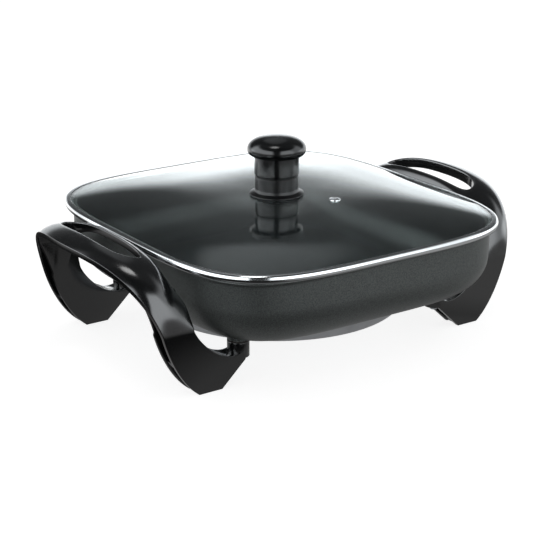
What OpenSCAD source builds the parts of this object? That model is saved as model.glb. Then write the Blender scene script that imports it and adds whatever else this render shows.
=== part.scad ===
// Twelve-inch electric skillet with a lift-off glass lid.
// Millimetres. Z is up, the table is z = 0, and X runs from handle to handle.
// The front side faces -Y. The temperature control's socket is under the +X handle.

/* [Pan] */
// Width of the pan across the handles, outside the wall
pan_w = 286.5; // [280:0.5:345]
// Length of the pan from front to back, outside the wall
pan_l = 309.1; // [290:0.1:372]
// Height of the pan's underside above the table
pan_base_z = 39.8; // [37:0.1:50]
// Height of the pan's lip above its underside
pan_h = 60.1; // [50:0.1:75]
// Thickness of the cast floor and walls
pan_wall = 3.2; // [2.5:0.1:5]
// Squareness of the plan outline, 2 is an ellipse
pan_square = 4.9; // [3:0.1:7]
// Horizontal reach of the rounded lower edge
pan_round = 32; // [20:1:45]
// Height of the rounded lower edge
pan_round_h = 35; // [20:1:45]
// Overhang of the lip beyond the wall
lip_out = 4.4; // [3.8:0.1:5]

/* [Heater] */
// Radius of the bare aluminium heating plate
plate_r = 112; // [90:1:115]
// Depth of the heating plate below the pan
plate_h = 18.2; // [14:0.1:22]
// Radius of the hollow under the middle of the heating plate
recess_r = 66; // [45:1:70]
// Depth of the hollow under the middle of the heating plate
recess_h = 10; // [2:0.5:11]
// Radius of the heating element's loop
element_r = 85; // [60:1:90]
// Outside diameter of the element's sheath
sheath_d = 7.8; // [6:0.1:9]
// Radius of the two bends where the element turns out of the plate
element_bend_r = 12; // [10:0.5:15]
// Diameter of each terminal pin
pin_d = 4.75; // [4:0.05:5.5]
// Distance between the axes of the terminal pins
pin_pitch = 22.2; // [20:0.1:26]
// Length of each pin beyond the element's sheath
pin_reach = 31; // [26:0.5:32]
// Bore of the sensor sleeve
sensor_bore_d = 6.6; // [5:0.1:8]
// Outside diameter of the sensor sleeve
sensor_tube_d = 9.6; // [9:0.1:12]
// Depth of the sensor sleeve's bore
sensor_depth = 48; // [35:1:60]
// Width of the opening in the terminal guard
guard_w = 64; // [58:1:72]
// Height of the opening in the terminal guard
guard_h = 18; // [16:0.5:18]
// Wall of the terminal guard
guard_wall = 2.4; // [1.5:0.1:3]
// Depth of the terminal guard from its mouth to the bracket
guard_l = 33.7; // [30:0.1:41]
// Thickness of the terminal bracket's steel
bracket_t = 1.5; // [1:0.1:2.5]

/* [Lid] */
// Reach of the lid's steel rim beyond the pan's wall, to the middle of the rim
lid_over = 6.75; // [6:0.05:8.1]
// Squareness of the lid's outline, 2 is an ellipse
lid_square = 4.06; // [3:0.1:6]
// Thickness of the glass
glass_t = 4; // [3:0.1:5]
// Rise of the glass from its edge to its centre
dome_h = 10.7; // [5:0.1:20]
// Gap between the pan's lip and the lid's rim
lid_gap = 0.5; // [0.3:0.1:1]
// Distance of the steam vent from the knob, across the handles
vent_x = 30; // [25:1:60]
// Distance of the steam vent from the knob, towards the front
vent_y = 43; // [30:1:80]
// Bore of the steam vent
vent_d = 4.4; // [3:0.1:6]

/* [Knob] */
// Diameter of the knob's cap
cap_d = 50.8; // [44:0.2:60]
// Height of the cap
cap_h = 19; // [15:0.5:25]
// Diameter of the neck under the cap
neck_d = 38.7; // [34:0.1:42]
// Height of the neck under the cap
neck_h = 18.6; // [14:0.2:24]
// Diameter of the lower neck
base_neck_d = 37.2; // [32:0.1:40]
// Diameter of the flange that sits on the glass
flange_d = 46.8; // [42:0.2:56]
// Height of the lower neck and its flange together
base_h = 13.4; // [11:0.2:18]
// Diameter of the knob's screw
knob_screw_d = 5; // [4:0.5:6]

/* [Handles] */
// Reach of the grip beyond the pan's wall
grip_out = 63.35; // [56:0.05:76]
// Height of the grip's outer edge at its middle
grip_z = 109; // [100:0.5:120]
// Half of the distance across the two legs of one handle
leg_y = 101.9; // [90:0.1:106]
// Reach of each foot beyond the pan's wall
foot_reach = 0.55; // [-3:0.05:5]
// Length of each foot
foot_l = 20.9; // [17:0.1:25]
// Height at which the legs turn into the arch of the grip
arch_z = 53.9; // [45:0.1:60]
// Thickness of the moulded walls
handle_wall = 4; // [3:0.1:5]
// Depth of each leg's channel from its outer face to its inner face
leg_depth = 18.2; // [18.2:0.1:24]
// Height of the grip's crown above its edges
crown_h = 4.7; // [2:0.1:6]
// Length of the finger slot
slot_l = 112; // [80:1:120]
// Width of the grip outside the finger slot, at its middle
grip_w = 18.1; // [15:0.1:22]
// Width of the finger slot at its middle
slot_w = 25.7; // [21:0.1:27]
// Gap between the pan's wall and the handle
handle_gap = 5.5; // [3:0.1:8]
// Distance of each leg screw inside the pan's wall
post_inset = 41.75; // [40:0.05:44]
// Diameter of the screw post on each leg
post_d = 18; // [14:0.1:18]
// Diameter of the screws that hold the legs
leg_screw_d = 5; // [4:0.5:6]
// Thickness of the heat-insulating spacer above each post
spacer_t = 1.6; // [1:0.1:3]

/* [Hidden] */
$fn = 64;

// Named clearances
screw_clear = 0.25;      // around a screw's shank, radial
thread_clear = 0.05;     // between a thread and its hole, radial
bush_clear = 0.15;       // around a pin in its ceramic bush, radial
sleeve_clear = 0.1;      // around a sleeve or sheath in its seat, radial
seat_gap = 0.2;          // between the knob's flange and the glass

// Rings and facets of the lofted shells
plan_steps = 72;         // points round a plan outline
round_steps = 6;         // rings over the pan's rounded edge
dome_steps = 10;         // rings over the dome
arch_steps = 14;         // rows from a leg to the middle of the grip
leg_row_steps = 6;       // rows down each leg

// Places that follow the pan
lid_w = pan_w + 2 * lid_over;    // the rim's centreline
lid_l = pan_l + 2 * lid_over;
grip_x = pan_w / 2 + grip_out;
foot_out = pan_w / 2 + foot_reach;
foot_in = foot_out - foot_l;
slot_out = grip_x - grip_w;
slot_in = slot_out - slot_w;
post_x = pan_w / 2 - post_inset;

lip_z = pan_base_z + pan_h;
lip_h = 3.1;
floor_z = pan_base_z + pan_wall;
plate_z = pan_base_z - plate_h;
heater_z = plate_z + 6.4;        // height of the element, the pins and the sensor

// Heating element
element_end_a = asin((pin_pitch / 2 + element_bend_r) / (element_r + element_bend_r));
lead_x = (element_r + element_bend_r) * cos(element_end_a);
sheath_end_x = plate_r + 3;
swage = 0.1;                     // step in the sheath's radius at each end of a bend
pin_inset = 8;                   // length of a pin inside its sheath
pin_tip_x = sheath_end_x + pin_reach;
sensor_mouth_x = sheath_end_x + 13;
sensor_stop = 4;                 // closed end of the sensor sleeve

// Terminal bracket and guard
bracket_x = sheath_end_x + 1.5;
boss_h = 3.8;
bracket_z = pan_base_z - boss_h - bracket_t;     // underside of the bracket's flange
bracket_screw_x = plate_r - 6;
bracket_screw_y = 50;
bracket_half_l = bracket_screw_y + 8;
bush_r = 5.8;
bush_neck_r = 4.4;
bush_h = 4;
bush_bore_r = pin_d / 2 + bush_clear;
ear_top = bracket_z - 0.3;       // the guard's ears lie under the bracket's flange
guard_low = heater_z - guard_h / 2 - guard_wall;
guard_back_x = bracket_x + bracket_t + 0.3;
guard_x = guard_back_x + guard_l;
ear_r = 6;
ear_w = guard_back_x + 12 - bracket_screw_x;
guard_screw_d = 4;
pin_free_x = bracket_x + bracket_t + bush_h + 0.5;   // where the pins' free ends begin
pin_core_d = pin_d - 0.35;       // the pins' thinner root, inside the bushes

// Leg fasteners
post_y = leg_y - leg_depth / 2;
post_top = pan_base_z - boss_h - spacer_t;
post_low = 23;
washer_r = 5.2;
washer_t = 1;
lock_washer_t = 1.3;
leg_head_r = 4.6;
leg_head_h = 2.8;
leg_hole_r = leg_screw_d / 2 + screw_clear;
leg_screw_l = lock_washer_t + washer_t + post_top - post_low + spacer_t + boss_h - 0.8;
edge_step = 0.5;                 // inner walls of a leg stop this far inside its outer plate's edge

// Lid levels
rim_z = lip_z + lid_gap;                 // underside of the rim
glass_edge_z = rim_z + 0.9;              // underside of the glass at its edge
rim_out = 3.6;                           // reach of the rim outside its centreline
glass_out = 1.5;                         // reach of the glass outside the rim's centreline
glass_top_z = glass_edge_z + glass_t + dome_h;
glass_hole_r = knob_screw_d / 2 + 1.6;
flange_z = glass_top_z + seat_gap;
neck_z = flange_z + base_h;
insert_r = 4;
insert_low = flange_z + 3;
insert_h = 22;
seal_t = 1.6;
seal_r = 21.5;
knob_washer_t = 1.2;
knob_washer_r = 10;
glass_low_z = glass_top_z - glass_t;
knob_head_h = 2.8;
knob_head_r = 4.8;

// ---- Curves -------------------------------------------------------------------------------

function mix(a, b, t) = a + (b - a) * t;

function bezier(p0, p1, p2, p3, t) =
    let (s = 1 - t) s*s*s*p0 + 3*s*s*t*p1 + 3*s*t*t*p2 + t*t*t*p3;

function smooth(t) = let (c = min(max(t, 0), 1)) c * c * (3 - 2 * c);

// One ring of a rounded-square outline: half sizes a and b, squareness n, height z
function outline(a, b, n, z) = [for (i = [0:plan_steps - 1])
    let (t = 360 * (i + 0.5) / plan_steps, c = cos(t), s = sin(t))
    [a * sign(c) * pow(abs(c), 2 / n), b * sign(s) * pow(abs(s), 2 / n), z]];

function flat_outline(a, b, n) = [for (p = outline(a, b, n, 0)) [p[0], p[1]]];

// Triangles between ring i and ring j of m points each
function band(i, j, m) = [for (k = [0:m - 1]) let (l = (k + 1) % m)
    each [[i * m + k, j * m + l, i * m + l], [i * m + k, j * m + k, j * m + l]]];

// A solid through rings of points. An open loft is closed by its first and last ring,
// a closed one joins its last ring to its first.
module loft(rings, closed = false) {
    m = len(rings[0]);
    n = len(rings);
    points = [for (r = rings) each r];
    bands = [for (i = [0:n - (closed ? 1 : 2)]) each band(i, (i + 1) % n, m)];
    ends = closed ? [] : [[for (k = [0:m - 1]) k], [for (k = [m - 1:-1:0]) (n - 1) * m + k]];
    polyhedron(points, concat(bands, ends), convexity = 8);
}

// A plate between two grids of points, rows by columns. Seen from outside the first grid, its
// rows run up and its columns run to the left.
module plate_between(front, back) {
    rows = len(front);
    cols = len(front[0]);
    size = rows * cols;
    points = concat([for (r = front) each r], [for (r = back) each r]);
    function id(r, c, side) = side * size + r * cols + c;
    faces_front = [for (r = [0:rows - 2]) for (c = [0:cols - 2])
        each [[id(r, c, 0), id(r + 1, c, 0), id(r + 1, c + 1, 0)],
              [id(r, c, 0), id(r + 1, c + 1, 0), id(r, c + 1, 0)]]];
    faces_back = [for (r = [0:rows - 2]) for (c = [0:cols - 2])
        each [[id(r, c, 1), id(r + 1, c + 1, 1), id(r + 1, c, 1)],
              [id(r, c, 1), id(r, c + 1, 1), id(r + 1, c + 1, 1)]]];
    sides = [for (r = [0:rows - 2])
        each [[id(r, 0, 0), id(r, 0, 1), id(r + 1, 0, 1)],
              [id(r, 0, 0), id(r + 1, 0, 1), id(r + 1, 0, 0)],
              [id(r, cols - 1, 0), id(r + 1, cols - 1, 1), id(r, cols - 1, 1)],
              [id(r, cols - 1, 0), id(r + 1, cols - 1, 0), id(r + 1, cols - 1, 1)]]];
    ends = [for (c = [0:cols - 2])
        each [[id(0, c, 0), id(0, c + 1, 1), id(0, c, 1)],
              [id(0, c, 0), id(0, c + 1, 0), id(0, c + 1, 1)],
              [id(rows - 1, c, 0), id(rows - 1, c, 1), id(rows - 1, c + 1, 1)],
              [id(rows - 1, c, 0), id(rows - 1, c + 1, 1), id(rows - 1, c + 1, 0)]]];
    polyhedron(points, concat(faces_front, faces_back, sides, ends), convexity = 8);
}

// ---- Pan ----------------------------------------------------------------------------------

// A ring of the pan, drawn in from the outer wall
function pan_ring(inset, z) = outline(pan_w / 2 - inset, pan_l / 2 - inset, pan_square, z);

module pan() {
    inner_round = pan_round - pan_wall;
    inner_round_h = pan_round_h - pan_wall;
    outer = [for (i = [0:round_steps]) let (a = 90 * i / round_steps)
        pan_ring(pan_round * (1 - sin(a)), pan_base_z + pan_round_h * (1 - cos(a)))];
    lip = [pan_ring(0, lip_z - lip_h), pan_ring(-lip_out, lip_z - lip_h + 1.6),
        pan_ring(-lip_out, lip_z - 0.5), pan_ring(-lip_out + 0.5, lip_z),
        pan_ring(pan_wall - 0.6, lip_z), pan_ring(pan_wall, lip_z - 0.8)];
    inner = [for (i = [round_steps:-1:0]) let (a = 90 * i / round_steps)
        pan_ring(pan_wall + inner_round * (1 - sin(a)), floor_z + inner_round_h * (1 - cos(a)))];
    color("#4a4e4d") loft(concat(outer, lip, inner));
}

// Threaded bosses under the floor: one over each leg's post, two for the terminal bracket
module pan_bosses() color("#4a4e4d") {
    for (sx = [-1, 1]) for (sy = [-1, 1])
        boss(sx * post_x, sy * post_y, post_d / 2, leg_screw_d);
    for (sy = [-1, 1])
        boss(bracket_screw_x, sy * bracket_screw_y, 4.6, guard_screw_d);
}

module boss(x, y, r, screw_d) translate([x, y, pan_base_z - boss_h]) difference() {
    cylinder(r = r, h = boss_h);
    translate([0, 0, -1]) cylinder(r = screw_d / 2 + thread_clear, h = boss_h + 0.4);
}

// ---- Heater -------------------------------------------------------------------------------

// Path of the element: an open loop whose two ends bend out towards +X. The sheath is swaged a
// little thinner at the bends and again at the leads.
module element_path(r, end_x) {
    rotate([0, 0, element_end_a])
        rotate_extrude(angle = 360 - 2 * element_end_a) translate([element_r, 0]) circle(r);
    for (side = [-1, 1]) {
        rotate([0, 0, side * element_end_a]) translate([element_r + element_bend_r, 0, 0])
            rotate([0, 0, side > 0 ? 180 : 90 + element_end_a])
                rotate_extrude(angle = 90 - element_end_a) translate([element_bend_r, 0]) circle(r - swage);
        translate([lead_x, side * pin_pitch / 2, 0]) rotate([0, 90, 0])
            cylinder(r = r - 2 * swage, h = end_x - lead_x);
    }
}

module heat_plate() color("#a9acad") translate([0, 0, plate_z]) difference() {
    rotate_extrude($fn = 128) polygon([[0, recess_h], [recess_r - 5, recess_h], [recess_r, 0],
        [plate_r - 9, 0], [plate_r - 4, 0.9], [plate_r - 1, 3.6], [plate_r, 8], [plate_r, plate_h],
        [0, plate_h]]);
    translate([0, 0, heater_z - plate_z]) element_path(sheath_d / 2 + sleeve_clear, plate_r + 5);
    translate([sensor_mouth_x - sensor_depth - sensor_stop - 0.5, 0, heater_z - plate_z])
        rotate([0, 90, 0]) cylinder(d = sensor_tube_d + 2 * sleeve_clear, h = sensor_depth + 20);
}

module heating_element() color("#8b8d8c") translate([0, 0, heater_z]) difference() {
    element_path(sheath_d / 2, sheath_end_x);
    for (side = [-1, 1]) translate([sheath_end_x - pin_inset - 0.5, side * pin_pitch / 2, 0])
        rotate([0, 90, 0]) cylinder(d = pin_core_d + 2 * thread_clear, h = pin_inset + 5);
}

module terminal_pins() color("#c9ccd0") for (side = [-1, 1])
    translate([0, side * pin_pitch / 2, heater_z]) rotate([0, 90, 0]) rotate_extrude()
        polygon([[0, sheath_end_x - pin_inset], [pin_core_d / 2, sheath_end_x - pin_inset],
            [pin_core_d / 2, pin_free_x], [pin_d / 2, pin_free_x], [pin_d / 2, pin_tip_x - 1.5],
            [pin_d / 4, pin_tip_x], [0, pin_tip_x]]);

module pin_insulators() color("#e8e4da") for (side = [-1, 1])
    translate([bracket_x, side * pin_pitch / 2, heater_z]) rotate([0, 90, 0]) difference() {
        union() {
            translate([0, 0, -1.2]) cylinder(r = bush_neck_r, h = bracket_t + 2);
            translate([0, 0, bracket_t]) cylinder(r = bush_r, h = bush_h);
        }
        translate([0, 0, -3]) cylinder(r = bush_bore_r, h = bush_h + bracket_t + 8);
    }

module sensor_tube() color("#b4b7b8")
    translate([sensor_mouth_x - sensor_depth - sensor_stop, 0, heater_z]) rotate([0, 90, 0]) difference() {
        cylinder(d = sensor_tube_d, h = sensor_depth + sensor_stop);
        translate([0, 0, sensor_stop]) cylinder(d = sensor_bore_d, h = sensor_depth + 5);
    }

module terminal_bracket() color("#9fa3a6") {
    difference() {
        translate([bracket_screw_x - 7, -bracket_half_l, bracket_z])
            cube([bracket_x + bracket_t - bracket_screw_x + 7, 2 * bracket_half_l, bracket_t]);
        translate([0, 0, bracket_z - 1]) cylinder(r = plate_r + 1, h = bracket_t + 2, $fn = 128);
        for (side = [-1, 1]) translate([bracket_screw_x, side * bracket_screw_y, bracket_z - 1])
            cylinder(r = guard_screw_d / 2 + screw_clear, h = bracket_t + 2);
    }
    difference() {
        translate([bracket_x, -guard_w / 2, guard_low + guard_wall])
            cube([bracket_t, guard_w, bracket_z - guard_low - guard_wall]);
        for (side = [-1, 1]) translate([bracket_x - 1, side * pin_pitch / 2, heater_z]) rotate([0, 90, 0])
            cylinder(r = bush_neck_r + sleeve_clear, h = bracket_t + 2);
        translate([bracket_x - 1, 0, heater_z]) rotate([0, 90, 0])
            cylinder(d = sensor_tube_d + 2 * sleeve_clear, h = bracket_t + 2);
    }
}

// Shroud round the pins, open at its mouth, screwed to the bracket's flange by two ears
module terminal_guard() color("#1c1d1e") difference() {
    union() {
        translate([guard_back_x, -guard_w / 2 - guard_wall, guard_low])
            cube([guard_x - guard_back_x, guard_w + 2 * guard_wall, guard_h + 2 * guard_wall]);
        for (side = [-1, 1]) translate([bracket_screw_x, side * bracket_screw_y, ear_top - guard_wall])
            cylinder(r = ear_r, h = guard_wall);
        for (side = [-1, 1])
            translate([bracket_screw_x, side > 0 ? guard_w / 2 + 1 : -bracket_screw_y - ear_r,
                ear_top - guard_wall])
                cube([ear_w, bracket_screw_y + ear_r - guard_w / 2 - 1, guard_wall]);
    }
    translate([guard_back_x - 1, -guard_w / 2, guard_low + guard_wall])
        cube([guard_x, guard_w, guard_h]);
    translate([0, 0, guard_low - 1]) cylinder(r = plate_r + 1, h = guard_h + 3 * guard_wall, $fn = 128);
    for (side = [-1, 1]) translate([bracket_screw_x, side * bracket_screw_y, guard_low])
        cylinder(r = guard_screw_d / 2 + screw_clear, h = guard_h + 3 * guard_wall);
}

module guard_screws() color("#b9bcc0") for (side = [-1, 1])
    translate([bracket_screw_x, side * bracket_screw_y, ear_top - guard_wall])
        pan_head_screw(guard_screw_d, guard_wall + bracket_t + 3.2, 3.6, 2.2);

// A screw pointing up, with its head's seat at z = 0 and a driver's recess below
module pan_head_screw(d, l, head_r, head_h) difference() {
    union() {
        cylinder(d = d, h = l);
        translate([0, 0, -head_h]) rotate_extrude() polygon([[0, 0], [head_r * 0.62, 0],
            [head_r, head_h * 0.6], [head_r, head_h], [0, head_h]]);
    }
    for (a = [0, 90]) rotate([0, 0, a]) translate([-head_r * 0.5, -0.5, -head_h - 1])
        cube([head_r, 1, 1 + head_h * 0.55]);
}

// ---- Handles ------------------------------------------------------------------------------

// The outer edge of the handle, from the top of a leg (t = 0) to the middle of the grip (t = 1)
shoulder_x = mix(foot_out, grip_x, 0.497);   // the edge at the top of a leg
lean_x = mix(foot_out, grip_x, 0.755);       // pulls the edge outward as it rises
edge_lead = 51.3;                            // how far it climbs before it turns along the grip
function edge_point(t) = bezier([shoulder_x, -leg_y, arch_z], [lean_x, -leg_y, arch_z + edge_lead],
    [grip_x, -0.3 * leg_y, grip_z], [grip_x, 0, grip_z], t);
function edge_next(t) = edge_point(t + 0.01) - edge_point(t - 0.01);

// Outward normal of the arch in the YZ plane
function arch_normal(t) = let (d = edge_next(t), l = norm([d[1], d[2]])) [0, -d[2] / l, d[1] / l];

// Leg outlines in side view: the swept outer edge and the hook on the pan's side
hook_x = pan_w / 2 + handle_gap;
grip_in = lid_w / 2 + rim_out + 1.6;     // the grip's inner edge clears the lid's rim
hook_tip = [post_x, 28.4];
toe = [post_x - 1.25, 20.9];
function leg_outer(t) = bezier([shoulder_x, arch_z], [shoulder_x - 4, arch_z - 16],
    [foot_out + 17, 13], [foot_out, 0], t);
function leg_hook(t) = bezier([hook_x - 1.5, arch_z], [hook_x - 6.8, arch_z - 12.8],
    [foot_in - 4.4, 17.7], hook_tip, t);

// Section across the ribbon: [share of the width from the outer edge, height of front, of back]
ribbon_section = [[0, 0, -1], [0.04, 1, -1], [0.14, 0.62 * crown_h, -1], [0.33, crown_h, -1],
    [0.6, 0.85 * crown_h, -1], [0.84, 0.32 * crown_h, -1], [0.92, -0.2, -1.2], [0.97, -2.6, -1.8],
    [1, -6, -2.7]];

// The pan-side edge of the ribbon, and how far the flat leg has become the rounded grip
function inner_x(z) = hook_x - 1.5 + 1.5 * smooth((z - arch_z) / 12)
    + (grip_in - hook_x) * smooth((z - arch_z - 18) / 22);
function roundness(z) = smooth((z - arch_z) / 36);

function arch_row(t, back) = let (p = edge_point(t), n = arch_normal(t), f = roundness(p[2]))
    [for (s = ribbon_section) [mix(p[0], inner_x(p[2]), s[0]), p[1], p[2]]
        + n * (back ? mix(-handle_wall, s[2] * handle_wall * 1.08, f) : f * s[1])];

function leg_row(o, h, back) = [for (s = ribbon_section)
    [mix(o[0], h[0], s[0]), -leg_y + (back ? handle_wall : 0), mix(o[1], h[1], s[0])]];

function half_rows(back) = concat(
    [leg_row([foot_in, 0], toe, back)],
    [for (i = [leg_row_steps:-1:1]) leg_row(leg_outer(i / leg_row_steps), leg_hook(i / leg_row_steps), back)],
    [for (i = [0:arch_steps]) arch_row(i / arch_steps, back)]);

// The far half mirrors the near one, without repeating the middle row
function ribbon_rows(back) = let (h = half_rows(back), n = len(h))
    concat(h, [for (i = [n - 2:-1:0]) [for (p = h[i]) [p[0], -p[1], p[2]]]]);

module finger_slot() {
    half = slot_l / 2;
    steps = 12;
    side_out = [for (i = [-steps:steps]) let (q = sin(90 * i / steps))
        [mix(slot_in + 6, slot_out, sqrt(max(0, 1 - pow(q, 4)))), half * q]];
    side_in = [for (i = [steps - 1:-1:1 - steps]) let (q = sin(90 * i / steps))
        [slot_in + 6 - 6 * sqrt(1 - pow(q, 8)), half * q]];
    translate([0, 0, arch_z]) linear_extrude(grip_z) polygon(concat(side_out, side_in));
}

// Outline of a leg in side view, up to the height where it meets the grip's underside
leg_top_t = 0.3;
leg_top_z = edge_point(leg_top_t)[2] - 2;
function leg_outline() = concat(
    [for (i = [4:-1:0]) let (p = edge_point(leg_top_t * i / 4)) [p[0] - 1.2, min(p[2], leg_top_z)]],
    [for (i = [1:leg_row_steps]) leg_outer(i / leg_row_steps)],
    [[foot_in, 0], toe],
    [for (i = [leg_row_steps:-1:0]) leg_hook(i / leg_row_steps)],
    [for (i = [1:3]) let (z = mix(arch_z, leg_top_z - 10, i / 3)) [inner_x(z) + 1.5, z]],
    [[inner_x(leg_top_z) + 2, leg_top_z]]);

// The wall on the pan's side of a leg, above the hook, in front view. Its outer side follows the ribbon.
spine_t = 0.15;
function spine_outline() = concat(
    [[-leg_y + 1, arch_z - 1.5], [-leg_y + leg_depth - 1, arch_z - 1.5]],
    [[-leg_y + leg_depth - 1, edge_point(spine_t)[2] - 2]],
    [for (i = [4:-1:0]) let (t = spine_t * i / 4, p = edge_point(t), n = arch_normal(t),
        d = 1 + 6.5 * roundness(p[2])) [p[1] - n[1] * d, p[2] - n[2] * d]]);

// The flange that follows the hook and ties the leg's two plates together
function hook_offset(t, d) = let (a = leg_hook(t - 0.01), b = leg_hook(t + 0.01), v = (b - a) / norm(b - a))
    leg_hook(t) + d * [-v[1], v[0]];

module side_view(y_low, depth) translate([0, y_low + depth, 0]) rotate([90, 0, 0]) linear_extrude(depth)
    children();

module leg() {
    channel_y = -leg_y + leg_depth;
    inner_plate = handle_wall - 0.8;
    side_view(channel_y - inner_plate, inner_plate) polygon(leg_outline());
    side_view(-leg_y + 1, leg_depth - 2) polygon(concat(
        [for (i = [0:12]) hook_offset(i / 12, edge_step)],
        [for (i = [12:-1:0]) hook_offset(i / 12, handle_wall)]));
    intersection() {
        translate([hook_x - 5, 0, 0]) rotate([90, 0, 90]) linear_extrude(handle_wall + 15)
            polygon(spine_outline());
        side_view(-leg_y + 0.5, leg_depth) polygon(concat(
            [for (i = [0:6]) let (z = arch_z - 2 + 5 * i) [inner_x(z) + edge_step, z]],
            [for (i = [6:-1:0]) let (z = arch_z - 2 + 5 * i) [inner_x(z) + handle_wall, z]]));
    }
    side_view(-leg_y + 1, leg_depth - 2) polygon([[foot_in + 1, edge_step], [foot_out - 1.5, edge_step],
        leg_outer(0.86) - [1.5, 0], [foot_in - 3.5, 5.6]]);
    side_view(-leg_y + 1, leg_depth - 2) polygon([leg_outer(0.45) - [1.5, 0], leg_outer(0.53) - [1.5, 0],
        leg_hook(0.5) + [1, -1.5], leg_hook(0.42) + [1, -1.5]]);
    translate([post_x, -post_y, toe[1] + 0.3]) cylinder(d = post_d, h = post_top - toe[1] - 0.3);
}

module handle() difference() {
    union() {
        difference() {
            plate_between(ribbon_rows(true), ribbon_rows(false));
            finger_slot();
        }
        leg();
        mirror([0, 1, 0]) leg();
    }
    for (side = [-1, 1]) translate([post_x, side * post_y, 0]) {
        cylinder(r = leg_hole_r, h = pan_base_z);
        translate([0, 0, -1]) cylinder(r = washer_r + 0.4, h = post_low + 1);
    }
}

module handle_right() color("#17181a") handle();
module handle_left() color("#17181a") mirror([1, 0, 0]) handle();

module at_posts() for (sx = [-1, 1]) for (sy = [-1, 1]) translate([sx * post_x, sy * post_y, 0]) children();

module ring(r_out, r_in, h) difference() {
    cylinder(r = r_out, h = h);
    translate([0, 0, -1]) cylinder(r = r_in, h = h + 2);
}

module heat_spacers() color("#2b2825") at_posts()
    translate([0, 0, post_top]) ring(post_d / 2, leg_hole_r, spacer_t);

module leg_washers() color("#c3c6c9") at_posts()
    translate([0, 0, post_low - washer_t]) ring(washer_r, leg_hole_r, washer_t);

module leg_lock_washers() color("#aeb1b4") at_posts()
    translate([0, 0, post_low - washer_t - lock_washer_t]) difference() {
        ring(leg_head_r, leg_hole_r, lock_washer_t);
        translate([0, -0.4, -1]) cube([leg_head_r + 1, 0.8, lock_washer_t + 2]);
    }

module leg_screws() color("#b9bcc0") at_posts()
    translate([0, 0, post_low - washer_t - lock_washer_t])
        pan_head_screw(leg_screw_d, leg_screw_l, leg_head_r, leg_head_h);

// ---- Lid ----------------------------------------------------------------------------------

// Height of the dome above its edge at share f of the way in from the edge
function dome(f) = dome_h * (1 - pow(1 - f, 4));

function glass_ring(f, low) = let (e = glass_edge_z + glass_t + dome(f))
    outline(mix(lid_w / 2 + glass_out, glass_hole_r, f), mix(lid_l / 2 + glass_out, glass_hole_r, f),
        mix(lid_square, 2, f), low ? e - glass_t : e);

module lid_glass() color([0.85, 0.9, 0.9, 0.35]) difference() {
    shares = [for (i = [0:dome_steps]) pow(i / dome_steps, 1.6)];
    loft(concat([for (f = shares) glass_ring(f, false)],
        [for (i = [dome_steps:-1:0]) glass_ring(shares[i], true)]), closed = true);
    translate([vent_x, -vent_y, glass_low_z - 5]) cylinder(d = vent_d + 2.8, h = 20);
}

function rim_ring(out, z) = outline(lid_w / 2 + out, lid_l / 2 + out, lid_square, rim_z + z);

// Steel channel folded over the glass edge. Its lower leg rests on the pan's lip.
module lid_rim() color("#c8cbcf") loft([
    rim_ring(-0.8, 5.65), rim_ring(1.7, 5.15), rim_ring(2.7, 4.6), rim_ring(3, 3.9), rim_ring(3, 1.6),
    rim_ring(2.6, 0.9), rim_ring(1.7, 0.65), rim_ring(-3.6, 0.65), rim_ring(-3.6, 0), rim_ring(2.2, 0),
    rim_ring(3.3, 0.5), rim_ring(rim_out, 1.4), rim_ring(rim_out, 4.5), rim_ring(3.1, 5.4),
    rim_ring(1.9, 5.85), rim_ring(-0.8, 6.3)], closed = true);

// Silicone bead between the glass edge and the steel channel
module rim_seal() color("#3a3c3e") loft([
    rim_ring(2.75, 1.9), rim_ring(2.75, 3.9), rim_ring(glass_out + 0.15, 3.9),
    rim_ring(glass_out + 0.15, 1.9)], closed = true);

module vent_grommet() color("#d3d6d9") translate([vent_x, -vent_y, glass_low_z - 0.2])
    rotate_extrude() polygon([[vent_d / 2, -0.9], [vent_d / 2 + 2.6, -0.9], [vent_d / 2 + 2.6, 0],
        [vent_d / 2 + 1.1, 0], [vent_d / 2 + 1.1, glass_t + 0.25], [vent_d / 2 + 2.9, glass_t + 0.25],
        [vent_d / 2 + 2.4, glass_t + 1.1], [vent_d / 2 + 0.9, glass_t + 1.4], [vent_d / 2, glass_t + 1]]);

module knob_base() color("#17181a") translate([0, 0, flange_z]) difference() {
    rotate_extrude() polygon([[0, 0], [flange_d / 2, 0], [flange_d / 2, 1.4], [flange_d / 2 - 0.8, 2.2],
        [base_neck_d / 2 + 1.4, 3], [base_neck_d / 2, 5], [base_neck_d / 2, base_h - 1.2],
        [base_neck_d / 2 - 0.9, base_h - 0.4], [base_neck_d / 2 - 0.9, base_h], [0, base_h]]);
    translate([0, 0, -1]) cylinder(r = insert_r + sleeve_clear, h = base_h + 2);
}

module knob_grip() color("#17181a") translate([0, 0, neck_z]) difference() {
    rotate_extrude() polygon(concat([[0, 0], [neck_d / 2 - 1, 0], [neck_d / 2, 0.9],
        [neck_d / 2, neck_h - 0.6]], [for (i = [0:10]) let (a = -52 + 142 * i / 10)
            [cap_d / 2 - 8 + 8 * cos(a) - (a > 0 ? (cap_d / 2 - 8) * (1 - cos(a)) * 0.999 : 0),
                neck_h + cap_h * (0.34 + (a > 0 ? 0.66 : 0.42) * sin(a))]],
        [[0, neck_h + cap_h]]));
    translate([0, 0, -1]) cylinder(r = insert_r + sleeve_clear, h = insert_low + insert_h - neck_z + 1.5);
}

module knob_insert() color("#b8964a") translate([0, 0, insert_low]) ring(insert_r,
    knob_screw_d / 2 + thread_clear, insert_h);

// Silicone pad with a scalloped edge under the glass
module knob_seal() color("#26282a") translate([0, 0, glass_low_z - seal_t]) difference() {
    cylinder(r = seal_r, h = seal_t - 0.05);
    translate([0, 0, -1]) cylinder(r = knob_screw_d / 2 + screw_clear, h = seal_t + 2);
    for (i = [0:11]) rotate([0, 0, 30 * i]) translate([seal_r + 2.4, 0, -1]) cylinder(r = 4, h = seal_t + 2);
}

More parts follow.
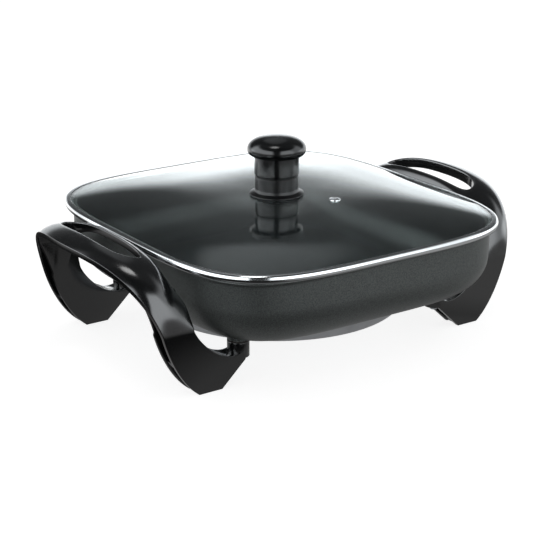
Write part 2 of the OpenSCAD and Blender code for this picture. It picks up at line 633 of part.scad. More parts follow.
module knob_washer() color("#c3c6c9") translate([0, 0, glass_low_z - seal_t - knob_washer_t])
    ring(knob_washer_r, knob_screw_d / 2 + screw_clear, knob_washer_t);

module knob_screw() color("#b9bcc0") translate([0, 0, glass_low_z - seal_t - knob_washer_t])
    pan_head_screw(knob_screw_d, insert_low + insert_h - 4 - glass_low_z + seal_t + knob_washer_t,
        knob_head_r, knob_head_h);

pan();
pan_bosses();
heat_plate();
heating_element();
terminal_pins();
pin_insulators();
sensor_tube();
terminal_bracket();
terminal_guard();
guard_screws();
handle_left();
handle_right();
heat_spacers();
leg_washers();
leg_lock_washers();
leg_screws();
lid_glass();
lid_rim();
rim_seal();
vent_grommet();
knob_base();
knob_grip();
knob_insert();
knob_seal();
knob_washer();
knob_screw();
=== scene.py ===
"""Electric skillet with a lift-off glass lid: the visible model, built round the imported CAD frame.

Sizes in the comments and in the modelling calls are millimetres, and the scene's own units are metres.
"""

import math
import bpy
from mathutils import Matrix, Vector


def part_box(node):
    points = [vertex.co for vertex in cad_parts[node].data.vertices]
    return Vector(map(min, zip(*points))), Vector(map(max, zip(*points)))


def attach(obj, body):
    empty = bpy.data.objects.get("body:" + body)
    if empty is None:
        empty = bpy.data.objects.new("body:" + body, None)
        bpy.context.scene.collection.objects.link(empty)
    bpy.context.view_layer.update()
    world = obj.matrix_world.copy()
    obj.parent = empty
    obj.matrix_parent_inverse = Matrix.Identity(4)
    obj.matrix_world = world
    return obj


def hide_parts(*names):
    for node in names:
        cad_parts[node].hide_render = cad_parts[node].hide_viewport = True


bl_info = {
    "name": "Electric skillet",
    "version": (1, 0, 0),
    "blender": (4, 5, 0),
    "location": "3D View > Sidebar > Skillet",
    "description": "Models an electric skillet with its glass lid, handles, heater and studio",
    "category": "Add Mesh",
}

from types import SimpleNamespace

import bpy
from bpy.props import FloatProperty, FloatVectorProperty, PointerProperty
from mathutils import Vector
from mathutils.bvhtree import BVHTree

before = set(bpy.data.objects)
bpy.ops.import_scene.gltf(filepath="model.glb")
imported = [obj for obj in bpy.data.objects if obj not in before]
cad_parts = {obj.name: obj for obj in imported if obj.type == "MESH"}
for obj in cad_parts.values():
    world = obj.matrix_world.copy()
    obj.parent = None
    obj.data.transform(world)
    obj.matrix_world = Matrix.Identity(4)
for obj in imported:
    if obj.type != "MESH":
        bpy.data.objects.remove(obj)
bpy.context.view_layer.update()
MM = 0.001
SENSOR = 36  # The width of the camera's sensor in millimetres
WHITE = (1, 1, 1, 1)


def linear(text):
    """An sRGB colour written as #rrggbb, as linear red, green and blue."""
    parts = [int(text[i : i + 2], 16) / 255 for i in (1, 3, 5)]
    return tuple(c / 12.92 if c <= 0.04045 else ((c + 0.055) / 1.055) ** 2.4 for c in parts)


def length(name, description, default):
    """A length property. Its default is written in millimetres and kept in metres."""
    return FloatProperty(name=name, description=description, default=default * MM, unit="LENGTH")


def number(name, description, default, unit="NONE"):
    """A plain number's property."""
    return FloatProperty(name=name, description=description, default=default, unit=unit)


def bearing(name, description, default):
    """An angle property. Its default is written in degrees."""
    return FloatProperty(name=name, description=description, default=math.radians(default), subtype="ANGLE")


def colour(name, description, default):
    """A colour property. Its default is written as #rrggbb."""
    return FloatVectorProperty(
        name=name, description=description, default=linear(default), size=3, subtype="COLOR", min=0, max=1
    )


# ---- Sizes and colours


class SkilletPan(bpy.types.PropertyGroup):
    width: length("Width", "Outside the wall, across the handles", 286.5)
    depth: length("Length", "Outside the wall, front to back", 309.1)
    base: length("Underside", "Height of the underside above the table", 39.8)
    height: length("Height", "From the underside to the lip", 60.1)
    wall: length("Wall", "Thickness of the floor and walls", 3.2)
    overhang: length("Lip", "Overhang of the lip beyond the wall", 4.4)
    round_out: length("Rounding reach", "Reach of the rounded lower edge", 32)
    round_up: length("Rounding height", "Height of the rounded lower edge", 35)
    squareness: number("Squareness", "Of the plan outline, 2 is an ellipse", 4.9)
    plate_radius: length("Plate radius", "Radius of the heating plate", 112)
    plate_low: length("Plate underside", "Height of the plate's underside", 21.6)


class SkilletLid(bpy.types.PropertyGroup):
    width: length("Width", "Along the rim's centreline, across the handles", 300)
    depth: length("Length", "Along the rim's centreline, front to back", 322.6)
    rim_low: length("Rim underside", "Height of the rim's underside", 100.4)
    glass: length("Glass", "Thickness of the glass", 4)
    dome: length("Dome", "Rise of the glass from its edge to its centre", 10.7)
    squareness: number("Squareness", "Of the plan outline, 2 is an ellipse", 4.06)
    bore: length("Knob bore", "Radius of the hole for the knob's insert", 4.1)
    vent_x: length("Vent across", "From the knob, across the handles", 30)
    vent_y: length("Vent forward", "From the knob, towards the front", 43)
    cap: length("Knob cap", "Diameter of the knob's cap", 50.6)
    neck: length("Knob neck", "Diameter of the neck under the cap", 38)
    seam: length("Knob seam", "Height of the seam above the knob's foot", 17.4)


class SkilletHandle(bpy.types.PropertyGroup):
    grip_x: length("Grip", "From the pan's centre to the grip's outer edge", 206.6)
    grip_z: length("Grip height", "Height of the grip's outer edge", 109)
    grip_in: length("Grip inner edge", "From the pan's centre to the grip's inner edge", 155.2)
    hook_x: length("Hook", "From the pan's centre to the handle's side of the pan gap", 148.75)
    leg_y: length("Legs", "Half of the distance across the two legs", 101.9)
    leg_depth: length("Leg depth", "From a leg's outer face to the back of its inner plate", 18.2)
    arch_z: length("Arch", "Height at which a leg turns into the arch", 53.9)
    foot_out: length("Foot outer end", "From the pan's centre", 143.8)
    foot_in: length("Foot inner end", "From the pan's centre", 122.9)
    wall: length("Wall", "Thickness of the moulded walls", 4)
    crown: length("Crown", "Height of the grip's crown above its edges", 4.7)
    slot_out: length("Slot outer side", "From the pan's centre, at its middle", 187.6)
    slot_in: length("Slot inner side", "From the pan's centre, at its middle", 163.6)
    slot_half: length("Slot half length", "From the grip's middle to a slot's end", 56)
    post_x: length("Post across", "From the pan's centre to a leg screw, across the handles", 101.5)
    post_y: length("Post along", "From the pan's centre to a leg screw, front to back", 92.8)


class SkilletColours(bpy.types.PropertyGroup):
    sprayed_enamel: colour("Pan outside", "Charcoal enamel with fine flake", "#5b5f5e")
    nonstick_coat: colour("Pan inside", "Black non-stick coating", "#191b1d")
    polished_phenolic: colour("Knob cap", "Polished black phenolic moulding", "#0a0b0c")
    drawn_phenolic: colour("Knob foot", "Duller black phenolic moulding", "#0a0b0c")
    satin_phenolic: colour("Handles", "Satin black phenolic moulding", "#0a0b0c")
    textured_moulding: colour("Terminal guard", "Matt black moulding", "#1c1d1e")
    polished_stainless: colour("Bright steel", "Polished stainless steel", "#cfd1d2")
    zinc_plating: colour("Screws", "Zinc plating", "#b4b8bd")
    brushed_sheet: colour("Bracket", "Zinc-plated sheet", "#9fa3a6")
    annealed_sheath: colour("Element sheath", "Heat-dulled steel", "#7d7a75")
    turned_aluminium: colour("Heating plate", "Bare cast aluminium", "#c3c5c8")
    tempered_glass: colour("Glass", "Clear tempered glass", "#f3fbf9")
    moulded_silicone: colour("Silicone", "Seals", "#26282a")
    fired_steatite: colour("Ceramic", "Pin bushes", "#e8e4da")
    pressed_fibre: colour("Fibre", "Heat spacers", "#2b2825")
    turned_brass: colour("Brass", "Knob insert", "#b8964a")
    floor: colour("Floor", "Studio floor", "#b4b4b4")


class SkilletStudio(bpy.types.PropertyGroup):
    azimuth: bearing("Azimuth", "Camera's angle round the skillet", -34.55)
    elevation: bearing("Elevation", "Camera's angle above the table", 18.99)
    target_x: length("Target across", "Point that the camera looks at", -4.73)
    target_y: length("Target along", "Point that the camera looks at", 3.26)
    target_z: length("Target height", "Point that the camera looks at", 46.62)
    distance: length("Distance", "From the camera to the point it looks at", 1343.6)
    lens: number("Lens", "Focal length in millimetres on a 36 mm sensor", 102.52)
    lift: number("Floor lift", "Glow that makes the floor white where the camera sees it", 0.85)
    key: number("Overhead softbox", "Power of the softbox above", 1.3, "POWER")
    dish: number("Dish", "Brightness of the round dish high behind", 0.26)
    sweep: number("Sweep", "Brightness of the white sweep behind", 1.7)
    panel: number("Panels", "Brightness of the panels beside the camera", 3)
    ambient: number("Ambient", "Strength of the light from all round", 0.5)


def millimetres(group):
    """A group's values by name, with its lengths in millimetres."""
    values = {}
    for prop in group.bl_rna.properties:
        if prop.type == "FLOAT":
            value = getattr(group, prop.identifier)
            values[prop.identifier] = value / MM if prop.unit == "LENGTH" else value
    return SimpleNamespace(**values)


# ---- Modelling


def start_edit():
    """Enters edit mode with every vertex selected."""
    bpy.ops.object.mode_set(mode="EDIT")
    bpy.ops.mesh.select_mode(type="VERT")
    bpy.ops.mesh.select_all(action="SELECT")


def primitive(kind, **settings):
    """A new primitive, with nothing else selected."""
    bpy.ops.object.select_all(action="DESELECT")
    getattr(bpy.ops.mesh, f"primitive_{kind}_add")(**settings)
    return bpy.context.object


def extrude(x, y, z):
    """Extrudes what is selected by a move in millimetres."""
    bpy.ops.mesh.extrude_region_move(TRANSFORM_OT_translate={"value": (x * MM, y * MM, z * MM)})


def end_edit(name):
    """Leaves edit mode with doubles merged and normals outward, and names the piece."""
    bpy.ops.mesh.select_all(action="SELECT")
    bpy.ops.mesh.remove_doubles(threshold=0.02 * MM)
    bpy.ops.mesh.normals_make_consistent(inside=False)
    bpy.ops.object.mode_set(mode="OBJECT")
    piece = bpy.context.object
    piece.name = piece.data.name = name
    return piece


def only(piece):
    """Selects one piece and nothing else."""
    bpy.ops.object.select_all(action="DESELECT")
    piece.select_set(True)
    bpy.context.view_layer.objects.active = piece
    return piece


def apply_modifier(piece, kind, **settings):
    """Adds a modifier with its settings and applies it."""
    only(piece)
    modifier = piece.modifiers.new(kind.lower(), kind)
    for name, value in settings.items():
        setattr(modifier, name, value)
    bpy.ops.object.modifier_apply(modifier=modifier.name)


def ease_edges(piece, width, segments, angle):
    """Bevels the edges that turn by more than an angle in degrees."""
    limits = {"limit_method": "ANGLE", "angle_limit": math.radians(angle)}
    apply_modifier(piece, "BEVEL", width=width * MM, segments=segments, **limits)


def boolean(piece, tool, operation):
    """Cuts a piece by a tool, joins them or keeps what they share, and uses up the tool."""
    apply_modifier(piece, "BOOLEAN", object=tool, operation=operation, solver="MANIFOLD")
    bpy.data.objects.remove(tool)


def mix(a, b, t):
    """From a to b, as t goes from 0 to 1."""
    return a + (b - a) * t


def smooth(t):
    """From 0 to 1 with a gentle start and end."""
    t = min(max(t, 0), 1)
    return t * t * (3 - 2 * t)


def bezier(controls, t):
    """The point at t on a cubic curve with four control points."""
    s = 1 - t
    point = []
    for a, b, c, d in zip(*controls):
        point.append(s * s * s * a + 3 * s * s * t * b + 3 * s * t * t * c + t * t * t * d)
    return Vector(point)


def fillet(points, steps=5):
    """A polyline whose points are (x, y) or (x, y, radius), with an arc at each point that has a radius."""
    out = []
    for i, point in enumerate(points):
        radius = point[2] if len(point) > 2 else 0
        if not radius:
            out.append((point[0], point[1]))
            continue
        here = Vector(point[:2])
        back = (Vector(points[i - 1][:2]) - here).normalized()
        ahead = (Vector(points[(i + 1) % len(points)][:2]) - here).normalized()
        half = math.acos(max(-1, min(1, back.dot(ahead)))) / 2
        middle = here + (back + ahead).normalized() * (radius / math.sin(half))
        reach = radius / math.tan(half)
        first, last = here + back * reach - middle, here + ahead * reach - middle
        turn = math.pi - 2 * half
        for k in range(steps + 1):
            a = math.sin(turn * (1 - k / steps)) / math.sin(turn)
            b = math.sin(turn * k / steps) / math.sin(turn)
            out.append(tuple(middle + first * a + last * b))
    return out


def rounded_square(squareness, ring):
    """A plate with a superellipse outline, left in edit mode with its face selected. It is 2 m wide at first.
    The bevels of its four corners meet in the middle of each side, with the superellipse's profile."""
    primitive("plane", size=2)
    start_edit()
    profile = 4 ** (-1 / squareness)
    bpy.ops.mesh.bevel(offset=0.9995, affect="VERTICES", segments=48, profile=profile, clamp_overlap=False)
    bpy.ops.mesh.remove_doubles(threshold=0.002)
    half_x, half_y, z = (v * MM for v in ring)
    bpy.ops.transform.resize(value=(half_x, half_y, 1), center_override=(0, 0, 0))
    bpy.ops.transform.translate(value=(0, 0, z))


def pull_through(rings):
    """Extrudes the selected outline from the first ring through the rest: half width, half length, height."""
    for before, after in zip(rings, rings[1:]):
        extrude(0, 0, after[2] - before[2])
        spread = (after[0] / before[0], after[1] / before[1], 1)
        bpy.ops.transform.resize(value=spread, center_override=(0, 0, 0))


def square_vessel(name, squareness, rings):
    """A closed form: the plate at the first ring is pulled through the others and closes the last."""
    rounded_square(squareness, rings[0])
    pull_through(rings)
    return end_edit(name)


def square_hoop(name, squareness, rings):
    """A hoop: the outline is pulled through the section's rings and back to the first."""
    rounded_square(squareness, rings[0])
    bpy.ops.mesh.delete(type="ONLY_FACE")
    bpy.ops.mesh.select_all(action="SELECT")
    pull_through(rings + rings[:1])
    return end_edit(name)


def turned(name, profile, steps=96):
    """A turned form: a profile of (radius, height) points, extruded point by point and spun round Z."""
    primitive("plane", size=MM)
    start_edit()
    bpy.ops.mesh.merge(type="CENTER")
    bpy.ops.transform.translate(value=(profile[0][0] * MM, 0, profile[0][1] * MM))
    for (r0, z0), (r1, z1) in zip(profile, profile[1:]):
        extrude(r1 - r0, 0, z1 - z0)
    bpy.ops.mesh.select_all(action="SELECT")
    bpy.ops.mesh.spin(steps=steps, angle=2 * math.pi, center=(0, 0, 0), axis=(0, 0, 1))
    return end_edit(name)


def cut_plate(name, outline, axis, low, high, soften=0.5):
    """A flat plate: its outline in the other two axes is extruded along X or Y and softened at its edges."""
    plate = primitive("circle", vertices=len(outline), radius=10 * MM, fill_type="NGON")
    for vertex, (u, v) in zip(plate.data.vertices, outline):
        vertex.co = Vector((low, u, v) if axis == "X" else (u, low, v)) * MM
    start_edit()
    extrude(*((high - low) * (axis == letter) for letter in "XYZ"))
    piece = end_edit(name)
    if soften:
        ease_edges(piece, soften, 2, 40)
    return piece


def move(piece, x, y):
    """Moves a piece over the table, with its place kept in its mesh."""
    only(piece)
    bpy.ops.transform.translate(value=(x * MM, y * MM, 0))
    bpy.ops.object.transform_apply(location=True, rotation=False, scale=False)
    return piece


def merged_copy(name, node):
    """A copy of a CAD node's mesh with its triangles joined up and its flat faces made whole."""
    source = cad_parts[node]
    piece = bpy.data.objects.new(name, source.data.copy())
    bpy.context.scene.collection.objects.link(piece)
    piece.data.name = name
    only(piece)
    start_edit()
    bpy.ops.mesh.remove_doubles(threshold=0.01 * MM)
    bpy.ops.mesh.customdata_custom_splitnormals_clear()
    bpy.ops.mesh.dissolve_limited(angle_limit=math.radians(1))
    bpy.ops.object.mode_set(mode="OBJECT")
    return piece


def finished(piece, body, node, slot, *finishes, angle=35):
    """Shades a piece smooth up to an angle, gives it its finishes and seats it in its node's place."""
    only(piece)
    bpy.ops.object.shade_smooth_by_angle(angle=math.radians(angle))
    piece.data.materials.clear()
    for finish in finishes:
        piece.data.materials.append(finish_of(finish))
    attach(piece, body)
    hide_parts(node)
    return piece


def refinish(finish, *nodes):
    """Gives CAD nodes that stay in view their finish."""
    for node in nodes:
        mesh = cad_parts[node].data
        mesh.materials.clear()
        mesh.materials.append(finish_of(finish))


# ---- Materials


def empty_tree(owner):
    """The node tree of a material or world, with its nodes removed."""
    owner.use_nodes = True
    owner.node_tree.nodes.clear()
    return owner.node_tree


def add(tree, kind, settings=None, links=None):
    """Adds a shader node, sets its properties or inputs, and links its inputs to sockets or nodes."""
    node = tree.nodes.new("ShaderNode" + kind)
    for key, value in (settings or {}).items():
        if isinstance(key, str) and hasattr(node, key):
            setattr(node, key, value)
        else:
            node.inputs[key].default_value = value
    for key, source in (links or {}).items():
        tree.links.new(getattr(source, "outputs", [source])[0], node.inputs[key])
    return node


NOISE, CELLS, WAVES = "TexNoise", "TexVoronoi", "TexWave"
RINGS = {"wave_type": "RINGS", "rings_direction": "Z"}
BANDS = {"wave_type": "BANDS", "bands_direction": "Z"}

# Each finish has the shader's own settings, then what varies over the piece:
# "shades" are two factors of the colour, "rough" two roughnesses and "height" a depth in millimetres.
# Their patterns are a texture, the millimetres in which it repeats once, its settings and, where it
# runs one way, its stretch. A noise has a detail of 3 if its settings give no other. A word in a
# pattern's place is the one of these whose pattern it shares.
FINISHES = {
    # Silicone-polyester enamel sprayed on cast aluminium: fine flake under a satin orange-peel skin.
    "sprayed_enamel": {
        "shader": {"Metallic": 0.6, "Roughness": 0.4, "Coat Weight": 0.15, "Coat Roughness": 0.3},
        "shades": ((NOISE, 0.9, {"Detail": 2}), 0.7, 1.35),
        "rough": ((NOISE, 38, {"Detail": 2}), 0.34, 0.48),
        "height": ((NOISE, 1.6, {"Detail": 2}), 0.035),
    },
    # Two-coat fluoropolymer, sprayed and cured: black satin with a fine grit and faint wipe marks.
    "nonstick_coat": {
        "shader": {"Roughness": 0.36, "IOR": 1.4, "Coat Weight": 0.2, "Coat Roughness": 0.22},
        "shades": ((NOISE, 0.7, {"Detail": 2}), 0.8, 1.3),
        "rough": ((NOISE, 55, {"Detail": 4}), 0.3, 0.44),
        "height": ((NOISE, 0.9, {"Detail": 2}), 0.03),
    },
    # Compression-moulded phenolic from a polished tool: deep black gloss with slow ripples.
    "polished_phenolic": {
        "shader": {"Roughness": 0.16, "IOR": 1.55},
        "shades": ((NOISE, 30), 0.85, 1.2),
        "rough": ((NOISE, 14, {"Detail": 4}), 0.13, 0.21),
        "height": ((NOISE, 9, {"Detail": 1}), 0.02),
    },
    # The same moulding where the tool's draw marks were left in: a duller black gloss.
    "drawn_phenolic": {
        "shader": {"Roughness": 0.32, "IOR": 1.45},
        "shades": ((NOISE, 30), 0.85, 1.2),
        "rough": ((NOISE, 6), 0.28, 0.38),
    },
    # The same moulding from a vapour-blasted tool: black satin that spreads its highlights.
    "satin_phenolic": {
        "shader": {"Roughness": 0.18, "IOR": 1.65, "Coat Weight": 0.5, "Coat Roughness": 0.12},
        "shades": ((NOISE, 30), 0.85, 1.2),
        "rough": ((NOISE, 11, {"Detail": 4}), 0.13, 0.22),
        "height": ((NOISE, 1.1, {"Detail": 2}), 0.008),
    },
    # Heat-resistant moulding from an eroded tool: matt black with a fine leather-like texture.
    "textured_moulding": {
        "shader": {"Roughness": 0.6, "IOR": 1.55},
        "shades": ((NOISE, 12), 0.85, 1.15),
        "height": ((CELLS, 0.9), 0.06),
    },
    # Stainless strip, rolled and buffed: mirror bright, with fine buffing lines round the piece.
    "polished_stainless": {
        "shader": {"Metallic": 1, "Roughness": 0.12},
        "shades": ((NOISE, 20), 0.95, 1.03),
        "rough": ((NOISE, 1.2, {}, (0.15, 0.15, 3)), 0.07, 0.2),
        "height": ("rough", 0.004),
    },
    # Cast aluminium, faced on a lathe: pale satin with rings, drawn 1.4 mm apart so that they show.
    "turned_aluminium": {
        "shader": {"Metallic": 1, "Roughness": 0.38},
        "shades": ((NOISE, 26), 0.88, 1.05),
        "rough": ((WAVES, 1.4 * math.pi, {**RINGS, "Distortion": 0.6}), 0.3, 0.46),
        "height": ("rough", 0.02),
    },
    # Bright zinc on rolled steel: grey-blue with faint clouds and dull patches.
    "zinc_plating": {
        "shader": {"Metallic": 1, "Roughness": 0.3},
        "shades": ((NOISE, 5), 0.82, 1.08),
        "rough": ("shades", 0.24, 0.42),
        "height": ((NOISE, 0.8), 0.01),
    },
    # Zinc-plated sheet, cut and bent: straight mill lines along the strip.
    "brushed_sheet": {
        "shader": {"Metallic": 1, "Roughness": 0.36},
        "shades": ((NOISE, 9), 0.85, 1.05),
        "rough": ((NOISE, 0.7, {}, (1, 0.05, 1)), 0.26, 0.48),
        "height": ("rough", 0.01),
    },
    # Steel tube annealed in air: dull straw and blue-grey oxide in patches.
    "annealed_sheath": {
        "shader": {"Metallic": 0.9, "Roughness": 0.5},
        "shades": ((NOISE, 7), 0.7, 1.15),
        "rough": ("shades", 0.42, 0.62),
        "height": ((NOISE, 0.5, {"Detail": 4}), 0.02),
    },
    # Steatite, pressed and fired: chalky off-white with fine grit.
    "fired_steatite": {
        "shader": {"Roughness": 0.62, "IOR": 1.55},
        "shades": ((NOISE, 1.2), 0.9, 1.03),
        "height": ((NOISE, 0.4), 0.02),
    },
    # Mica and fibre board, punched: dark brown layers with short flecks.
    "pressed_fibre": {
        "shader": {"Roughness": 0.75},
        "shades": ((NOISE, 1.1, {}, (1, 1, 5)), 0.72, 1.08),
        "height": ((NOISE, 0.5, {}, (1, 1, 5)), 0.03),
    },
    # Silicone rubber from a satin tool: soft dark grey, slightly dusty.
    "moulded_silicone": {
        "shader": {"Roughness": 0.55, "IOR": 1.41, "Sheen Weight": 0.15},
        "shades": ((NOISE, 3), 0.85, 1.2),
        "height": ((NOISE, 0.6, {"Detail": 2}), 0.01),
    },
    # Free-cutting brass, turned: warm yellow with tool rings along its length.
    "turned_brass": {
        "shader": {"Metallic": 1, "Roughness": 0.28},
        "shades": ((NOISE, 4), 0.85, 1.05),
        "rough": ((WAVES, 0.6 * math.pi, BANDS), 0.2, 0.36),
    },
    # Soda-lime float glass, pressed hot and tempered: clear, faintly green, with polished faces.
    "tempered_glass": {
        "shader": {"Roughness": 0, "IOR": 1.5, "Transmission Weight": 1},
        "height": ((NOISE, 60, {"Detail": 1}), 0.05),
        "lets_through": (0.9, 0.92, 0.91, 1),
    },
}
made = {}


def finish_of(name):
    """The material of a finish, made once. Its colour is the property of the same name."""
    if name in made:
        return made[name]
    finish = FINISHES[name]
    base = tuple(getattr(bpy.context.scene.skillet_colours, name))
    material = made[name] = bpy.data.materials.new(name)
    material.diffuse_color = (*base, 1)
    tree = empty_tree(material)
    place = add(tree, "TexCoord").outputs["Object"]
    patterns, varied = {}, {}
    for use in ("shades", "rough", "height"):
        if use not in finish:
            continue
        pattern, *limits = finish[use]
        if isinstance(pattern, str):
            source = patterns[pattern]
        else:
            kind, size, settings, stretch = pattern + ({}, None)[len(pattern) - 2 :]
            detail = {"Detail": 3} if kind == NOISE else {}
            over = add(tree, "Mapping", {"Scale": stretch}, {"Vector": place}) if stretch else place
            texture = add(tree, kind, {"Scale": 1 / (size * MM), **detail, **settings}, {"Vector": over})
            source = texture.outputs.get("Fac") or texture.outputs[0]
        if use == "shades":
            # A noise keeps mostly between these, which is spread over the two shades.
            source = add(tree, "MapRange", {"From Min": 0.3, "From Max": 0.7}, {"Value": source})
            dark, light = ((*(min(1, c * factor) for c in base), 1) for factor in limits)
            mixed = add(tree, "Mix", {"data_type": "RGBA", 6: dark, 7: light}, {0: source})
            varied["Base Color"] = mixed.outputs[2]
        elif use == "rough":
            settings = {"To Min": limits[0], "To Max": limits[1]}
            varied["Roughness"] = add(tree, "MapRange", settings, {"Value": source})
        else:
            settings = {"Strength": 1, "Distance": limits[0] * MM}
            varied["Normal"] = add(tree, "Bump", settings, {"Height": source})
        patterns[use] = source
    shown = add(tree, "BsdfPrincipled", {"Base Color": (*base, 1), **finish["shader"]}, varied)
    if "lets_through" in finish:
        # Lamps shine through to what is under the lid.
        rays = add(tree, "LightPath").outputs["Is Shadow Ray"]
        clear = add(tree, "BsdfTransparent", {"Color": finish["lets_through"]})
        shown = add(tree, "MixShader", links={0: rays, 1: shown, 2: clear})
    add(tree, "OutputMaterial", links={"Surface": shown})
    return material


# ---- Pieces


class SKILLET_OT_pan(bpy.types.Operator):
    """Model the cast pan with its rolled lower edge, lip and coated inside"""

    bl_idname = "skillet.pan"
    bl_label = "Pan"

    def execute(self, context):
        size = millimetres(context.scene.skillet_pan)
        base, wall, over, lip = size.base, size.wall, size.overhang, size.base + size.height
        out, up = size.round_out, size.round_up
        arc = [math.pi / 2 * i / 16 for i in range(17)]
        # Inset from the outer wall and height: up the outside, over the lip and down the inside.
        outer = [(out * (1 - math.sin(a)), base + up * (1 - math.cos(a))) for a in arc]
        lips = [
            (0, lip - 6), (0, lip - 3.1, 2), (-over, lip - 1.5, 0.5),
            (-over, lip, 0.6), (wall, lip, 0.9), (wall, lip - 6),
        ]
        inner = [(mix(out, wall, math.sin(a)), mix(base + up, base + wall, math.cos(a))) for a in arc[::-1]]
        profile = outer + fillet(lips, 4) + inner
        rings = [(size.width / 2 - inset, size.depth / 2 - inset, z) for inset, z in profile]
        pan = square_vessel("pan_body", size.squareness, rings)
        finished(pan, "pan", "pan", "pan_body", "sprayed_enamel", "nonstick_coat")
        for face in pan.data.polygons:
            outward = face.normal.x * face.center.x + face.normal.y * face.center.y
            inside = face.normal.z > 0.02 or outward < 0
            face.material_index = int(inside and face.center.z < (lip - 1.5) * MM)
        refinish("sprayed_enamel", "pan_bosses")
        return {"FINISHED"}


class SKILLET_OT_heater(bpy.types.Operator):
    """Model the heating plate and finish the element and sensor sleeve"""

    bl_idname = "skillet.heater"
    bl_label = "Heating plate and element"

    def execute(self, context):
        size = millimetres(context.scene.skillet_pan)
        r, low, top = size.plate_radius, size.plate_low, size.base
        # A shallow dish in the middle, the raised bed of the element, a land and the rounded rim.
        profile = fillet(
            [
                (0, low + 10), (61, low + 10, 4), (66, low, 2), (r - 9, low, 3), (r - 4, low + 0.9, 3),
                (r - 1, low + 3.6, 3), (r, low + 8, 3), (r, top - 0.2, 0.4), (r - 3, top - 0.02),
                (0, top - 0.02),
            ],
            4,
        )
        plate = turned("heating_plate", profile, 160)
        finished(plate, "pan", "heat_plate", "heat_plate", "turned_aluminium", angle=30)
        refinish("annealed_sheath", "heating_element")
        refinish("brushed_sheet", "sensor_tube")
        return {"FINISHED"}


class SKILLET_OT_socket(bpy.types.Operator):
    """Model the terminal guard and bracket, and finish the pins, bushes and screws"""

    bl_idname = "skillet.socket"
    bl_label = "Control socket"

    def execute(self, context):
        for name, node, width, slot, finish in (
            ("socket_guard", "terminal_guard", 0.7, "guard_moulding", "textured_moulding"),
            ("socket_bracket", "terminal_bracket", 0.25, "bracket_steel", "brushed_sheet"),
        ):
            piece = merged_copy(name, node)
            ease_edges(piece, width, 3, 50)
            finished(piece, "pan", node, slot, finish, angle=30)
        refinish("polished_stainless", "terminal_pins")
        refinish("fired_steatite", "pin_insulators")
        refinish("zinc_plating", "guard_screws")
        return {"FINISHED"}


